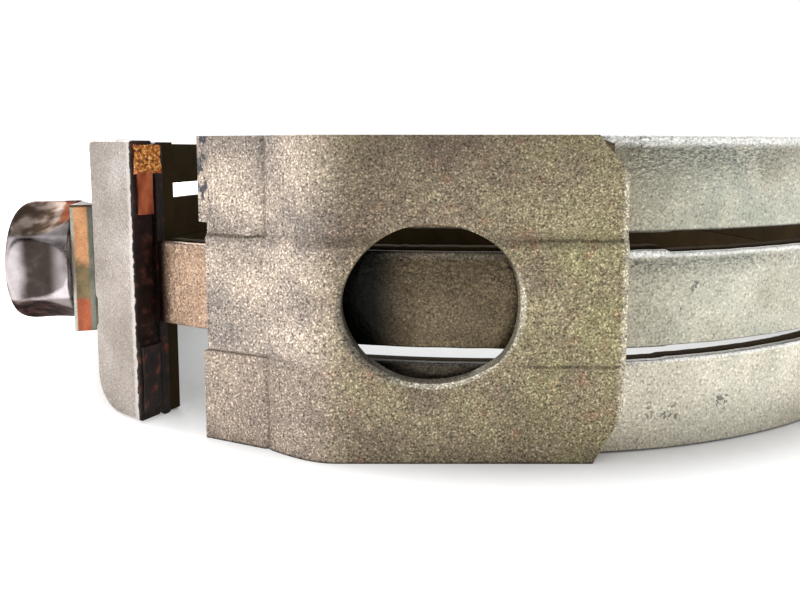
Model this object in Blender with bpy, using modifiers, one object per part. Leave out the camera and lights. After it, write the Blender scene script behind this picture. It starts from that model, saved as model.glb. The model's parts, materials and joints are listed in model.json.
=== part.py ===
"""Double-wrap brake band: two outer straps and a middle strap, lined inside, round one drum.

Metres, +Z up. The band stands on its lower edges at z = 0, and its ring's axis is vertical.
Angles round the ring are in degrees from the front (-Y), positive towards the right (+X).
"""
import math

import bmesh
import bpy
from mathutils import Matrix, Vector

MM = 0.001

# Driving dimensions
BAND_WIDTH = 40.0 * MM
RING_RADIUS = 86.16 * MM           # outer face of the strap steel where the ring is round
STEEL = 1.2 * MM                   # strap thickness
STRAP_EDGE = 0.25 * MM             # broken edge of a strap
LINING = 1.4 * MM                  # friction lining thickness
GAP = 0.3 * MM                     # between faces that touch on the real band
STOCK = 3.1 * MM                   # plate that the junction plate and the lug are cut from
SHEET = 1.7 * MM                   # anchor bracket sheet
PLATE_FACE = 88.2 * MM             # anchor bracket's flat face, forward of the ring's axis
EMBOSS = 0.5 * MM                  # raised middle of that face
RING_CENTRE_Y = (PLATE_FACE + EMBOSS - RING_RADIUS) / 2   # puts the origin under the box's centre

# Heights of the straps
LOWER_STRAP = (0.0 * MM, 11.95 * MM)
MIDDLE_STRAP = (13.5 * MM, 25.5 * MM)
UPPER_STRAP = (28.2 * MM, BAND_WIDTH)

# Ends of the straps round the ring
ANCHOR_END = -27.8
OUTER_END = 318.7                  # outer straps stop at the junction strip
JUNCTION = (-41.0, -34.5)          # junction strip
JUNCTION_LINING = (-41.0, -34.5)
MIDDLE_START = -34.2
MIDDLE_END = 303.0
STEP = 4.0                         # degrees between the points of a strap

# Linings under each strap
LINING_SEGMENTS = 3
LINING_SEAM = 0.35                 # degrees between segments
LINING_END = 0.5                   # degrees from a strap's end
LINING_SIDE = 0.2 * MM             # from a strap's long edges

# How far the free ends spring outwards
FLARE = 3.95 * MM
ANCHOR_FLARE_SPAN = 34.0
ANCHOR_FLARE_POWER = 1.45
JUNCTION_FLARE = (308.0, 320.0)

COLLECTION = "double_wrap_band"
STRAP_STEEL = ("strap_steel", (0.42, 0.41, 0.37, 1.0), 0.42, 0.9)
BLASTED_STEEL = ("blasted_steel", (0.23, 0.20, 0.16, 1.0), 0.62, 0.8)
DARK_STEEL = ("dark_steel", (0.11, 0.09, 0.085, 1.0), 0.35, 0.9)
COPPER = ("braze_copper", (0.42, 0.13, 0.06, 1.0), 0.5, 0.8)
FRICTION = ("friction_lining", (0.03, 0.02, 0.01, 1.0), 0.9, 0.0)


def material(spec):
    """A Principled material, made once for each spec and shared."""
    name, colour, roughness, metallic = spec
    found = bpy.data.materials.get(name)
    if found:
        return found
    made = bpy.data.materials.new(name)
    made.use_nodes = True
    shader = made.node_tree.nodes["Principled BSDF"]
    shader.inputs["Base Color"].default_value = colour
    shader.inputs["Roughness"].default_value = roughness
    shader.inputs["Metallic"].default_value = metallic
    return made


def collection(name):
    made = bpy.data.collections.new(name)
    bpy.context.scene.collection.children.link(made)
    return made


def add_mesh(name, bm, group, spec=None):
    """Make an object from a bmesh."""
    mesh = bpy.data.meshes.new(name)
    bm.to_mesh(mesh)
    bm.free()
    made = bpy.data.objects.new(name, mesh)
    group.objects.link(made)
    if spec:
        mesh.materials.append(material(spec))
    return made


def ring_point(angle, radius, height=0.0):
    """A point at an angle round the ring's axis."""
    turn = math.radians(angle)
    return Vector((radius * math.sin(turn), RING_CENTRE_Y - radius * math.cos(turn), height))


def flare(angle):
    """How far the band stands off its round shape, near the anchor end and near the junction."""
    if angle < 0.0:
        return FLARE * (-angle / ANCHOR_FLARE_SPAN) ** ANCHOR_FLARE_POWER
    start, end = JUNCTION_FLARE
    share = min(max((angle - start) / (end - start), 0.0), 1.0)
    return FLARE * share * share * (3.0 - 2.0 * share)


def bevel(target, width, angle=40.0):
    modifier = target.modifiers.new("edges", "BEVEL")
    modifier.width = width
    modifier.segments = 1
    modifier.limit_method = "ANGLE"
    modifier.angle_limit = math.radians(angle)


def strip(name, span, heights, inset, thickness, spec, group, raised=flare):
    """A curved strip: its outer face is swept round the ring, and Solidify gives the thickness."""
    start, end = span
    count = max(2, round((end - start) / STEP))
    bm = bmesh.new()
    row = []
    for index in range(count + 1):
        angle = start + (end - start) * index / count
        radius = RING_RADIUS + raised(angle) - inset
        row.append(bm.verts.new(ring_point(angle, radius, heights[0])))
    edges = [bm.edges.new(pair) for pair in zip(row, row[1:])]
    upper = bmesh.ops.extrude_edge_only(bm, edges=edges)["geom"]
    lifted = [item for item in upper if isinstance(item, bmesh.types.BMVert)]
    bmesh.ops.translate(bm, verts=lifted, vec=(0.0, 0.0, heights[1] - heights[0]))
    bm.normal_update()
    if sum(face.normal.dot(face.calc_center_median()) for face in bm.faces) < 0.0:
        bmesh.ops.reverse_faces(bm, faces=bm.faces)
    made = add_mesh(name, bm, group, spec)
    solid = made.modifiers.new("thickness", "SOLIDIFY")
    solid.thickness = thickness
    solid.offset = -1.0
    solid.use_even_offset = True
    return made


def constant_flare(angle):
    """The junction strip keeps the straps' greatest flare."""
    return FLARE


def block(name, size, centre, direction, group, spec=None):
    """A box whose local X axis points along a direction in the XY plane."""
    bm = bmesh.new()
    bmesh.ops.create_cube(bm, size=1.0)
    bmesh.ops.scale(bm, vec=size, verts=bm.verts)
    made = add_mesh(name, bm, group, spec)
    made.location = centre
    made.rotation_euler = (0.0, 0.0, math.atan2(direction.y, direction.x))
    return made


def cylinder(name, radii, depth, segments, group, placement):
    """A cylinder or cone along its local Z axis, used as a cutter."""
    bm = bmesh.new()
    bmesh.ops.create_cone(
        bm, cap_ends=True, segments=segments, radius1=radii[0], radius2=radii[1], depth=depth
    )
    made = add_mesh(name, bm, group)
    made.matrix_world = placement
    return made


def cut(target, cutter):
    cutter.hide_render = True
    cutter.display_type = "WIRE"
    modifier = target.modifiers.new(cutter.name, "BOOLEAN")
    modifier.operation = "DIFFERENCE"
    modifier.object = cutter


def add_strap(name, span, heights, parts):
    """A strap and the lining segments under it."""
    strap = strip(name + "_strap", span, heights, 0.0, STEEL, STRAP_STEEL, parts)
    bevel(strap, STRAP_EDGE)
    lining_heights = (heights[0] + LINING_SIDE, heights[1] - LINING_SIDE)
    first = max(span[0] + LINING_END, JUNCTION_LINING[1] + LINING_SEAM)
    seams = (LINING_SEGMENTS - 1) * LINING_SEAM
    length = (span[1] - LINING_END - first - seams) / LINING_SEGMENTS
    for index in range(LINING_SEGMENTS):
        start = first + index * (length + LINING_SEAM)
        strip(
            f"{name}_lining_{index + 1}", (start, start + length), lining_heights,
            STEEL + GAP, LINING, FRICTION, parts,
        )


# Anchor bracket: a sheet that is flat over the hole, steps back at a shoulder and ends in two tabs
BRACKET_LEFT = -42.6 * MM
CREASE = -33.6 * MM
SHOULDER = -24.4 * MM
BRACKET_RIGHT = 10.2 * MM
TAB_END_DEPTH = 81.4 * MM
CREASE_DEPTH = 84.6 * MM
TUNNEL_RISE = 1.0 * MM             # extra room over the middle strap at the left end
STEP_HEIGHTS = (12.0 * MM, 12.8 * MM, 27.0 * MM, 27.8 * MM)
HOLE_CENTRE = (-13.15 * MM, 19.8 * MM)
HOLE_SIZE = (21.2 * MM, 19.2 * MM)
HOLE_LIP = 0.45 * MM
SHOULDER_STEPS = 8
CUTTER_DEPTH = 20.0 * MM           # cylinder that cuts the hole
KNIFE = 16.0 * MM                  # block that cuts a corner
CORNERS = (                        # where each right corner starts on the long edge and on the end edge
    ("lower_corner", (6.7 * MM, 0.0), (BRACKET_RIGHT, 6.2 * MM)),
    ("upper_corner", (6.5 * MM, BAND_WIDTH), (BRACKET_RIGHT, 35.3 * MM)),
)


def bracket_depth(x):
    """How far the sheet's outer face is in front of the ring's axis."""
    if x < CREASE:
        share = (x - BRACKET_LEFT) / (CREASE - BRACKET_LEFT)
        return TAB_END_DEPTH + (CREASE_DEPTH - TAB_END_DEPTH) * share
    share = min((x - CREASE) / (SHOULDER - CREASE), 1.0)
    return CREASE_DEPTH + (PLATE_FACE - CREASE_DEPTH) * math.sin(share * math.pi / 2.0)


def tunnel_rise(x):
    """How far the sheet's middle stands out over its upper and lower parts."""
    share = min(max((x - BRACKET_LEFT) / (SHOULDER - BRACKET_LEFT), 0.0), 1.0)
    return TUNNEL_RISE + (EMBOSS - TUNNEL_RISE) * share


def add_anchor_bracket(parts, cutters):
    columns = [BRACKET_LEFT, (BRACKET_LEFT + CREASE) / 2.0]
    bend = SHOULDER - CREASE
    columns += [CREASE + bend * step / SHOULDER_STEPS for step in range(SHOULDER_STEPS + 1)]
    columns += [BRACKET_RIGHT]
    rows = [0.0, *STEP_HEIGHTS, BAND_WIDTH]
    bm = bmesh.new()
    bmesh.ops.create_grid(bm, x_segments=len(columns) - 1, y_segments=len(rows) - 1, size=0.5)
    for vert in bm.verts:
        x = columns[round((vert.co.x + 0.5) * (len(columns) - 1))]
        z = rows[round((vert.co.y + 0.5) * (len(rows) - 1))]
        raised = tunnel_rise(x) if z in STEP_HEIGHTS[1:3] else 0.0
        vert.co = (x, RING_CENTRE_Y - bracket_depth(x) - raised, z)
    bmesh.ops.recalc_face_normals(bm, faces=bm.faces)
    if sum(face.normal.y for face in bm.faces) > 0.0:
        bmesh.ops.reverse_faces(bm, faces=bm.faces)
    bracket = add_mesh("anchor_bracket", bm, parts, BLASTED_STEEL)
    solid = bracket.modifiers.new("thickness", "SOLIDIFY")
    solid.thickness = SHEET
    solid.offset = -1.0
    solid.use_even_offset = True

    face_y = RING_CENTRE_Y - PLATE_FACE - EMBOSS
    oval = Matrix.Diagonal((HOLE_SIZE[0] / HOLE_SIZE[1], 1.0, 1.0, 1.0))
    radius = HOLE_SIZE[1] / 2.0
    facing = Matrix.Rotation(math.radians(90.0), 4, "X")
    middle = Matrix.Translation((HOLE_CENTRE[0], face_y, HOLE_CENTRE[1])) @ facing
    cut(bracket, cylinder("anchor_hole", (radius, radius), CUTTER_DEPTH, 48, cutters, middle @ oval))
    lip = (radius - HOLE_LIP, radius + HOLE_LIP)
    cut(bracket, cylinder("anchor_hole_lip", lip, 2.0 * HOLE_LIP, 48, cutters, middle @ oval))

    for name, on_edge, on_end in CORNERS:
        run = Vector((on_end[0] - on_edge[0], 0.0, on_end[1] - on_edge[1])).normalized()
        outward = Vector((abs(run.z), 0.0, -run.x if run.z > 0.0 else run.x))
        knife = block(name, (KNIFE, KNIFE, KNIFE), (0.0, 0.0, 0.0), Vector((1.0, 0.0)), cutters)
        knife.rotation_euler = (0.0, math.atan2(-outward.z, outward.x), 0.0)
        corner = Vector((on_edge[0], face_y, on_edge[1]))
        knife.location = corner + run * KNIFE * 0.2 + outward * KNIFE / 2.0
        cut(bracket, knife)


# Copper between the bracket's tabs and the outer straps, and beads along its right edge
BRAZE_SIDE = 1.0 * MM              # from a strap's long edges
TAB_BRAZE = (-26.8, -22.8)
TAB_BRAZE_DEPTH = 0.4 * MM
EDGE_BRAZE = (7.1, 8.5)
EDGE_BRAZE_DEPTH = 0.5 * MM


def add_anchor_brazing(parts):
    for name, heights in (("upper", UPPER_STRAP), ("lower", LOWER_STRAP)):
        inner = (heights[0] + BRAZE_SIDE, heights[1] - BRAZE_SIDE)
        for side, span, depth in (
            ("left", TAB_BRAZE, TAB_BRAZE_DEPTH), ("right", EDGE_BRAZE, EDGE_BRAZE_DEPTH),
        ):
            strip(f"anchor_braze_{name}_{side}", span, inner, -GAP - depth, depth, COPPER, parts)


# Junction plate: flat, tangent to the flared straps, thickness outwards
JUNCTION_FACE = 93.56 * MM         # outer face from the ring's axis
JUNCTION_NORMAL_ANGLE = -32.7
JUNCTION_OFFSET = 2.75 * MM        # right edge to the left of the foot of that normal
JUNCTION_WIDTH = 10.2 * MM
JUNCTION_HEIGHTS = (0.3 * MM, 39.5 * MM)
JUNCTION_CHAMFER = 3.1 * MM        # how far the lower left corner is cut back
JUNCTION_CHAMFER_RUN = (0.75, -0.66)   # along the plate, and in height
JUNCTION_KNIFE = 12.0 * MM
JUNCTION_BRAZE = 0.5 * MM          # copper on the plate's end face, which looks to the right
JUNCTION_BRAZES = (("upper", 29.4 * MM, 39.0 * MM), ("lower", 1.6 * MM, 11.0 * MM))


def add_junction(parts, cutters):
    strip("junction_strip", JUNCTION, (0.0, BAND_WIDTH), 0.0, STEEL, STRAP_STEEL, parts, constant_flare)
    strip(
        "junction_lining", JUNCTION_LINING, (LINING_SIDE, BAND_WIDTH - LINING_SIDE),
        STEEL + GAP, LINING, FRICTION, parts, constant_flare,
    )
    outward = ring_point(JUNCTION_NORMAL_ANGLE, 1.0) - ring_point(0.0, 0.0)
    along = Vector((outward.y, -outward.x, 0.0))
    axis = ring_point(0.0, 0.0)
    height = JUNCTION_HEIGHTS[1] - JUNCTION_HEIGHTS[0]
    middle_height = sum(JUNCTION_HEIGHTS) / 2.0

    def place(sideways, depth, z):
        return axis + along * sideways + outward * depth + Vector((0.0, 0.0, z))

    centre = place(JUNCTION_OFFSET + JUNCTION_WIDTH / 2.0, JUNCTION_FACE - STOCK / 2.0, middle_height)
    plate = block(
        "junction_plate", (JUNCTION_WIDTH, STOCK, height), centre, along, parts, BLASTED_STEEL
    )
    corner = place(JUNCTION_OFFSET + JUNCTION_WIDTH, JUNCTION_FACE - STOCK / 2.0, JUNCTION_HEIGHTS[0])
    lean = (along * JUNCTION_CHAMFER_RUN[0] + Vector((0.0, 0.0, JUNCTION_CHAMFER_RUN[1]))).normalized()
    size = (JUNCTION_KNIFE, JUNCTION_KNIFE, JUNCTION_KNIFE)
    knife = block("junction_corner", size, corner, along, cutters)
    knife.rotation_mode = "QUATERNION"
    knife.rotation_quaternion = lean.to_track_quat("X", "Z")
    knife.location = corner + lean * (JUNCTION_KNIFE / 2.0 - JUNCTION_CHAMFER)
    cut(plate, knife)

    sideways = JUNCTION_OFFSET - GAP - JUNCTION_BRAZE / 2.0
    for name, low, high in JUNCTION_BRAZES:
        block(
            f"junction_braze_{name}", (JUNCTION_BRAZE, STOCK - JUNCTION_BRAZE, high - low),
            place(sideways, JUNCTION_FACE - STOCK / 2.0, (low + high) / 2.0), along, parts, COPPER,
        )


# Apply lug and button
BUTTON_DIRECTION = Vector((-0.970, -0.244, 0.0)).normalized()
LUG_BACK = Vector((BUTTON_DIRECTION.y, -BUTTON_DIRECTION.x, 0.0))   # along the lug, away from the front
LUG_FRONT = Vector((-68.0 * MM, RING_CENTRE_Y - 65.4 * MM, 0.0))    # front corner on the button's side
LUG_LENGTH = 20.0 * MM
LUG_HEIGHTS = (9.7 * MM, 29.7 * MM)
LUG_FOOT_HEIGHTS = MIDDLE_STRAP
LUG_CLEARANCE = 0.5 * MM           # over the outer straps
BUTTON_HEIGHT = 20.1 * MM
BUTTON_RADIUS = 9.8 * MM
BUTTON_LENGTH = 8.2 * MM
BUTTON_EDGE = 0.5 * MM
BUTTON_SETBACK = 8.0 * MM          # button's axis behind the lug's front
BUTTON_BRAZE = 0.5 * MM
BUTTON_BRAZE_RADIUS = 7.5 * MM
MILL_RADIUS = 12.0 * MM            # round bottom of the six flats
MILL_HEIGHT = 0.74                 # of the button's length
MILL_DEPTH = 0.9                   # of what would make the flats meet


def add_apply_lug(parts, cutters):
    centre = LUG_FRONT - BUTTON_DIRECTION * STOCK / 2.0 + LUG_BACK * LUG_LENGTH / 2.0
    centre.z = sum(LUG_HEIGHTS) / 2.0
    size = (STOCK, LUG_LENGTH, LUG_HEIGHTS[1] - LUG_HEIGHTS[0])
    lug = block("apply_lug", size, centre, BUTTON_DIRECTION, parts, BLASTED_STEEL)
    axis = ring_point(0.0, 0.0)
    on_strap = RING_RADIUS + GAP
    over_straps = RING_RADIUS + FLARE + LUG_CLEARANCE
    bottom, top = -1.0 * MM, BAND_WIDTH + 1.0 * MM
    for name, radius, low, high in (
        ("lug_foot_seat", on_strap, bottom, top),
        ("lug_over_lower", over_straps, bottom, LUG_FOOT_HEIGHTS[0]),
        ("lug_over_upper", over_straps, LUG_FOOT_HEIGHTS[1], top),
    ):
        placement = Matrix.Translation(axis + Vector((0.0, 0.0, (low + high) / 2.0)))
        cut(lug, cylinder(name, (radius, radius), high - low, 180, cutters, placement))


def add_apply_button(parts, cutters):
    """A turned button with six milled flats that run out towards its base."""
    flats_depth = BUTTON_RADIUS * (1.0 - math.cos(math.radians(30.0))) * MILL_DEPTH
    base = LUG_FRONT + LUG_BACK * BUTTON_SETBACK + BUTTON_DIRECTION * (2.0 * GAP + BUTTON_BRAZE)
    base.z = BUTTON_HEIGHT
    placement = BUTTON_DIRECTION.to_track_quat("Z", "Y").to_matrix().to_4x4()
    placement.translation = base

    outline = (
        (0.0, BUTTON_LENGTH), (BUTTON_RADIUS - 2.0 * BUTTON_EDGE, BUTTON_LENGTH),
        (BUTTON_RADIUS, BUTTON_LENGTH - BUTTON_EDGE), (BUTTON_RADIUS, BUTTON_EDGE),
        (BUTTON_RADIUS - BUTTON_EDGE, 0.0), (0.0, 0.0),
    )
    bm = bmesh.new()
    row = [bm.verts.new((radius, 0.0, height)) for radius, height in outline]
    for pair in zip(row, row[1:]):
        bm.edges.new(pair)
    button = add_mesh("apply_button", bm, parts, DARK_STEEL)
    button.matrix_world = placement
    turned = button.modifiers.new("turned", "SCREW")
    turned.steps = 36
    turned.render_steps = 36
    turned.use_merge_vertices = True
    turned.merge_threshold = 0.00001

    reach = BUTTON_RADIUS - flats_depth + MILL_RADIUS
    middle = Matrix.Translation((reach, 0.0, BUTTON_LENGTH * MILL_HEIGHT))
    lying = middle @ Matrix.Rotation(math.radians(90.0), 4, "X")
    for index in range(6):
        where = placement @ Matrix.Rotation(math.radians(60.0 * index), 4, "Z") @ lying
        radii = (MILL_RADIUS, MILL_RADIUS)
        cut(button, cylinder(f"button_flat_{index + 1}", radii, 30.0 * MM, 64, cutters, where))

    washer_place = placement.copy()
    washer_place.translation = base - BUTTON_DIRECTION * (GAP + BUTTON_BRAZE / 2.0)
    radii = (BUTTON_BRAZE_RADIUS, BUTTON_BRAZE_RADIUS)
    washer = cylinder("button_braze", radii, BUTTON_BRAZE, 36, parts, washer_place)
    washer.data.materials.append(material(COPPER))


# A bead of copper along the lug's foot, on the middle strap
LUG_BRAZE = (310.4, 311.8)
LUG_BRAZE_DEPTH = 0.8 * MM


def add_lug_brazing(parts):
    heights = (MIDDLE_STRAP[0] + BRAZE_SIDE, MIDDLE_STRAP[1] - BRAZE_SIDE)
    depth = LUG_BRAZE_DEPTH
    strip("lug_braze", LUG_BRAZE, heights, -GAP - depth, depth, COPPER, parts, lambda angle: 0.0)


def main():
    for old in list(bpy.data.objects):
        bpy.data.objects.remove(old)
    parts = collection(COLLECTION)
    cutters = collection("cutters")
    add_strap("upper", (ANCHOR_END, OUTER_END), UPPER_STRAP, parts)
    add_strap("lower", (ANCHOR_END, OUTER_END), LOWER_STRAP, parts)
    add_strap("middle", (MIDDLE_START, MIDDLE_END), MIDDLE_STRAP, parts)
    add_anchor_bracket(parts, cutters)
    add_anchor_brazing(parts)
    add_junction(parts, cutters)
    add_apply_lug(parts, cutters)
    add_lug_brazing(parts)
    add_apply_button(parts, cutters)
    for made in parts.objects:
        made.data.shade_smooth()
        made.data.set_sharp_from_angle(angle=math.radians(35.0))


main()
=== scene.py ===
"""Looks of the double-wrap brake band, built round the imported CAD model.

Metres, +Z up. Angles round the ring are in degrees from the front (-Y), positive to the right (+X).
"""
import json
import math

import bmesh
import bpy
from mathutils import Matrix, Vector, noise


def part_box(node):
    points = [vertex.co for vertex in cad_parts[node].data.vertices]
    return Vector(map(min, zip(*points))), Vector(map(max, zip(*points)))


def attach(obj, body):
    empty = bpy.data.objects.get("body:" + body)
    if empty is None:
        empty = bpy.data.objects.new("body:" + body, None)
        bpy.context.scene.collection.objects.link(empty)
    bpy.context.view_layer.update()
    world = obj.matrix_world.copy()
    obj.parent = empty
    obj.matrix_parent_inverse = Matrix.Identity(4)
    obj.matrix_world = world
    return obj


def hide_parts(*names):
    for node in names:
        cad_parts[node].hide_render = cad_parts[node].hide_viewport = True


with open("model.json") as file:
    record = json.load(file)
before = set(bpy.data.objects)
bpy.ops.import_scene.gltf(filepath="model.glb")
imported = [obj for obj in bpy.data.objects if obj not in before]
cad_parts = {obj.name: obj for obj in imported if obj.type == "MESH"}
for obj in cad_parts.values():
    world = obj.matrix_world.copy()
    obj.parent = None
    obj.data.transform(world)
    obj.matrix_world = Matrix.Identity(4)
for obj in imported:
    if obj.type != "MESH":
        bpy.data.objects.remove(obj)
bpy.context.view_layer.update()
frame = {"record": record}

MM = 0.001
BODY_OF = {node: body for body, nodes in frame["record"]["behaviour"]["bodies"].items() for node in nodes}

# The ring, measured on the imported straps
UPPER_LOW, UPPER_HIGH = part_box("upper_strap")
RADIUS = (UPPER_HIGH.x - UPPER_LOW.x) / 2.0 - 0.01 * MM
CENTRE_Y = UPPER_HIGH.y - (UPPER_HIGH.x - UPPER_LOW.x) / 2.0
BAND_WIDTH = UPPER_HIGH.z
STEEL = 1.2 * MM
LINING_DEPTH = 2.9 * MM             # inner face of the lining, in from the strap's outer face

# How the straps' free ends spring outwards, as on the CAD straps
FLARE = 3.95 * MM
ANCHOR_FLARE_SPAN = 34.0
ANCHOR_FLARE_POWER = 1.45
JUNCTION_FLARE = (308.0, 320.0)
ANCHOR_END = -27.8
OUTER_END = 318.9
JUNCTION = (-41.0, -34.5)           # the strip where the straps meet
JUNCTION_LINING = (-41.0, -34.6)
MIDDLE_START = -34.45
MIDDLE_END = 303.0


# ---------------- geometry helpers

def ring_point(angle, radius, height=0.0):
    turn = math.radians(angle)
    return Vector((radius * math.sin(turn), CENTRE_Y - radius * math.cos(turn), height))


def smooth(value, start, end):
    """0 before start, 1 after end, and smooth between them."""
    share = min(max((value - start) / (end - start), 0.0), 1.0)
    return share * share * (3.0 - 2.0 * share)


def flare(angle):
    """How far the band stands off its round shape."""
    if angle < 0.0:
        return FLARE * (-angle / ANCHOR_FLARE_SPAN) ** ANCHOR_FLARE_POWER
    return FLARE * smooth(angle, *JUNCTION_FLARE)


def wander(x, y, z, scale):
    """Smooth noise between about -1 and 1; scale is the size of its features."""
    return noise.noise(Vector((x, y, z)) / scale)


def add_object(name, bm):
    mesh = bpy.data.meshes.new(name)
    bm.to_mesh(mesh)
    bm.free()
    made = bpy.data.objects.new(name, mesh)
    bpy.context.scene.collection.objects.link(made)
    return made


def arc(across, upward, radius, start, end, steps):
    """Points round a centre, between two angles in degrees."""
    turns = [math.radians(start + (end - start) * step / steps) for step in range(steps + 1)]
    return [(across + radius * math.cos(turn), upward + radius * math.sin(turn)) for turn in turns]


def rounded_section(inner, outer, low, high, corner, steps=3):
    """A closed (radius, height) outline with round corners, anticlockwise from its lower outer corner."""
    right, left, bottom, top = outer - corner, inner + corner, low + corner, high - corner
    points = []
    for quarter, (x, z) in enumerate(((right, bottom), (right, top), (left, top), (left, bottom))):
        start = 90.0 * (quarter - 1)
        points += arc(x, z, corner, start, start + 90.0, steps)
    return points


def loft(name, rings):
    """A closed solid through rings of points."""
    bm = bmesh.new()
    rows = [[bm.verts.new(point) for point in ring] for ring in rings]
    for first, second in zip(rows, rows[1:]):
        for index in range(len(first)):
            after = (index + 1) % len(first)
            bm.faces.new((first[index], first[after], second[after], second[index]))
    bm.faces.new(list(reversed(rows[0])))
    bm.faces.new(rows[-1])
    bmesh.ops.recalc_face_normals(bm, faces=bm.faces)
    return add_object(name, bm)


def sweep(name, span, section, degrees=0.5):
    """A closed solid whose section follows an angle round the ring."""
    start, end = span
    count = max(4, math.ceil((end - start) / degrees))
    angles = [start + (end - start) * index / count for index in range(count + 1)]
    return loft(name, [[ring_point(angle, r, z) for r, z in section(angle)] for angle in angles])


def full_turn(count):
    """The angles of a whole turn, in radians."""
    return [2.0 * math.pi * index / count for index in range(count)]


def use_modifiers(piece):
    """Replace the piece's mesh by its evaluated one, and drop its modifiers."""
    graph = bpy.context.evaluated_depsgraph_get()
    mesh = bpy.data.meshes.new_from_object(piece.evaluated_get(graph))
    piece.modifiers.clear()
    piece.data = mesh


def round_edges(piece, width, segments, angle):
    modifier = piece.modifiers.new("edges", "BEVEL")
    modifier.width = width
    modifier.segments = segments
    modifier.limit_method = "ANGLE"
    modifier.angle_limit = math.radians(angle)
    modifier.use_clamp_overlap = True
    use_modifiers(piece)


def combine(piece, other, operation):
    """Cut the other solid out of the piece (DIFFERENCE) or add it to the piece (UNION)."""
    modifier = piece.modifiers.new("combine", "BOOLEAN")
    modifier.operation = operation
    modifier.object = other
    use_modifiers(piece)
    bpy.data.objects.remove(other)


def subtract(piece, cutter):
    combine(piece, cutter, "DIFFERENCE")


def dress(piece, node, material, sharp=40.0):
    """The piece stands for a CAD node: it takes its material and moves with its body."""
    piece.data.materials.clear()
    piece.data.materials.append(material)
    piece.data.shade_smooth()
    piece.data.set_sharp_from_angle(angle=math.radians(sharp))
    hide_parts(node)
    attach(piece, BODY_OF[node])


# ---------------- material helpers

def colour(red, green, blue):
    """An sRGB colour in 0 to 255, as the linear values that shaders take."""
    def linear(value):
        value /= 255.0
        return value / 12.92 if value <= 0.04045 else ((value + 0.055) / 1.055) ** 2.4
    return (linear(red), linear(green), linear(blue), 1.0)


class Skin:
    """A Principled material and short ways to add nodes to it, on the piece's own coordinates."""

    def __init__(self, name, roughness, metallic):
        self.material = bpy.data.materials.new(name)
        self.material.use_nodes = True
        self.tree = self.material.node_tree
        self.shader = self.tree.nodes["Principled BSDF"]
        self.shader.inputs["Roughness"].default_value = roughness
        self.shader.inputs["Metallic"].default_value = metallic
        self.place = self.tree.nodes.new("ShaderNodeTexCoord").outputs["Object"]
        split = self.add("ShaderNodeSeparateXYZ", {"Vector": self.place})
        self.x, self.y, self.z = split.outputs["X"], split.outputs["Y"], split.outputs["Z"]
        self.flat = self.stretched(1.0, 0.0, 1.0)
        self.normal = None

    def add(self, kind, inputs, **settings):
        made = self.tree.nodes.new(kind)
        for key, value in settings.items():
            setattr(made, key, value)
        for key, value in inputs.items():
            if isinstance(value, bpy.types.NodeSocket):
                self.tree.links.new(value, made.inputs[key])
            else:
                made.inputs[key].default_value = value
        return made

    def noise(self, scale, detail=3.0, roughness=0.5, place=None, distortion=0.0):
        """Noise whose features are about scale metres across."""
        inputs = {
            "Vector": place or self.place, "Scale": 1.0 / scale, "Detail": detail,
            "Roughness": roughness, "Distortion": distortion,
        }
        return self.add("ShaderNodeTexNoise", inputs).outputs["Fac"]

    def stretched(self, x, y, z):
        """The coordinates, scaled along each axis."""
        return self.add("ShaderNodeMapping", {"Vector": self.place, "Scale": (x, y, z)}).outputs["Vector"]

    def spread(self, value, low, high, to_low=0.0, to_high=1.0):
        """Map a value's range low..high to another range, clamped and smooth."""
        inputs = {"Value": value, "From Min": low, "From Max": high, "To Min": to_low, "To Max": to_high}
        return self.add("ShaderNodeMapRange", inputs, interpolation_type="SMOOTHSTEP").outputs["Result"]

    def calc(self, operation, first, second=0.0):
        return self.add("ShaderNodeMath", {0: first, 1: second}, operation=operation).outputs[0]

    def plus(self, first, second):
        return self.calc("ADD", first, second)

    def minus(self, first, second):
        return self.calc("SUBTRACT", first, second)

    def times(self, first, *others):
        for other in others:
            first = self.calc("MULTIPLY", first, other)
        return first

    def most(self, first, *others):
        for other in others:
            first = self.calc("MAXIMUM", first, other)
        return first

    def window(self, value, rise, fall):
        """A mask between two borders, each given as (where it is 0, where it is 1)."""
        return self.times(self.spread(value, *rise), self.spread(value, *fall))

    def wobble(self, size, reach):
        """Noise about zero that makes a border ragged; reach is its whole range."""
        return self.times(self.minus(self.noise(size), 0.5), reach)

    def vector(self, operation, first, second=None, output="Value"):
        inputs = {0: first} if second is None else {0: first, 1: second}
        return self.add("ShaderNodeVectorMath", inputs, operation=operation).outputs[output]

    def mix(self, share, first, second, blend="MIX"):
        """Blend two colours; the node's sockets 6, 7 and 2 are its colour inputs and its colour output."""
        inputs = {0: share, 6: first, 7: second}
        return self.add("ShaderNodeMix", inputs, data_type="RGBA", blend_type=blend).outputs[2]

    def paint(self, base, shade, *masks):
        """Lay a shade over the base where every mask is on; a number among them limits its strength."""
        return self.mix(self.times(*masks), base, shade)

    def ramp(self, value, *stops):
        """Colours along a value; each stop is a position and an sRGB colour."""
        made = self.add("ShaderNodeValToRGB", {"Fac": value})
        elements = made.color_ramp.elements
        while len(elements) < len(stops):
            elements.new(0.5)
        for element, (position, red, green, blue) in zip(elements, stops):
            element.position = position
            element.color = colour(red, green, blue)
        return made.outputs["Color"]

    def bump(self, height, distance, strength=1.0):
        inputs = {"Height": height, "Distance": distance, "Strength": strength}
        if self.normal:
            inputs["Normal"] = self.normal
        self.normal = self.add("ShaderNodeBump", inputs).outputs["Normal"]

    def finish(self, base, roughness=None):
        self.tree.links.new(base, self.shader.inputs["Base Color"])
        if roughness:
            self.tree.links.new(roughness, self.shader.inputs["Roughness"])
        if self.normal:
            self.tree.links.new(self.normal, self.shader.inputs["Normal"])
        return self.material


WHITE = (1.0, 1.0, 1.0, 1.0)


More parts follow.
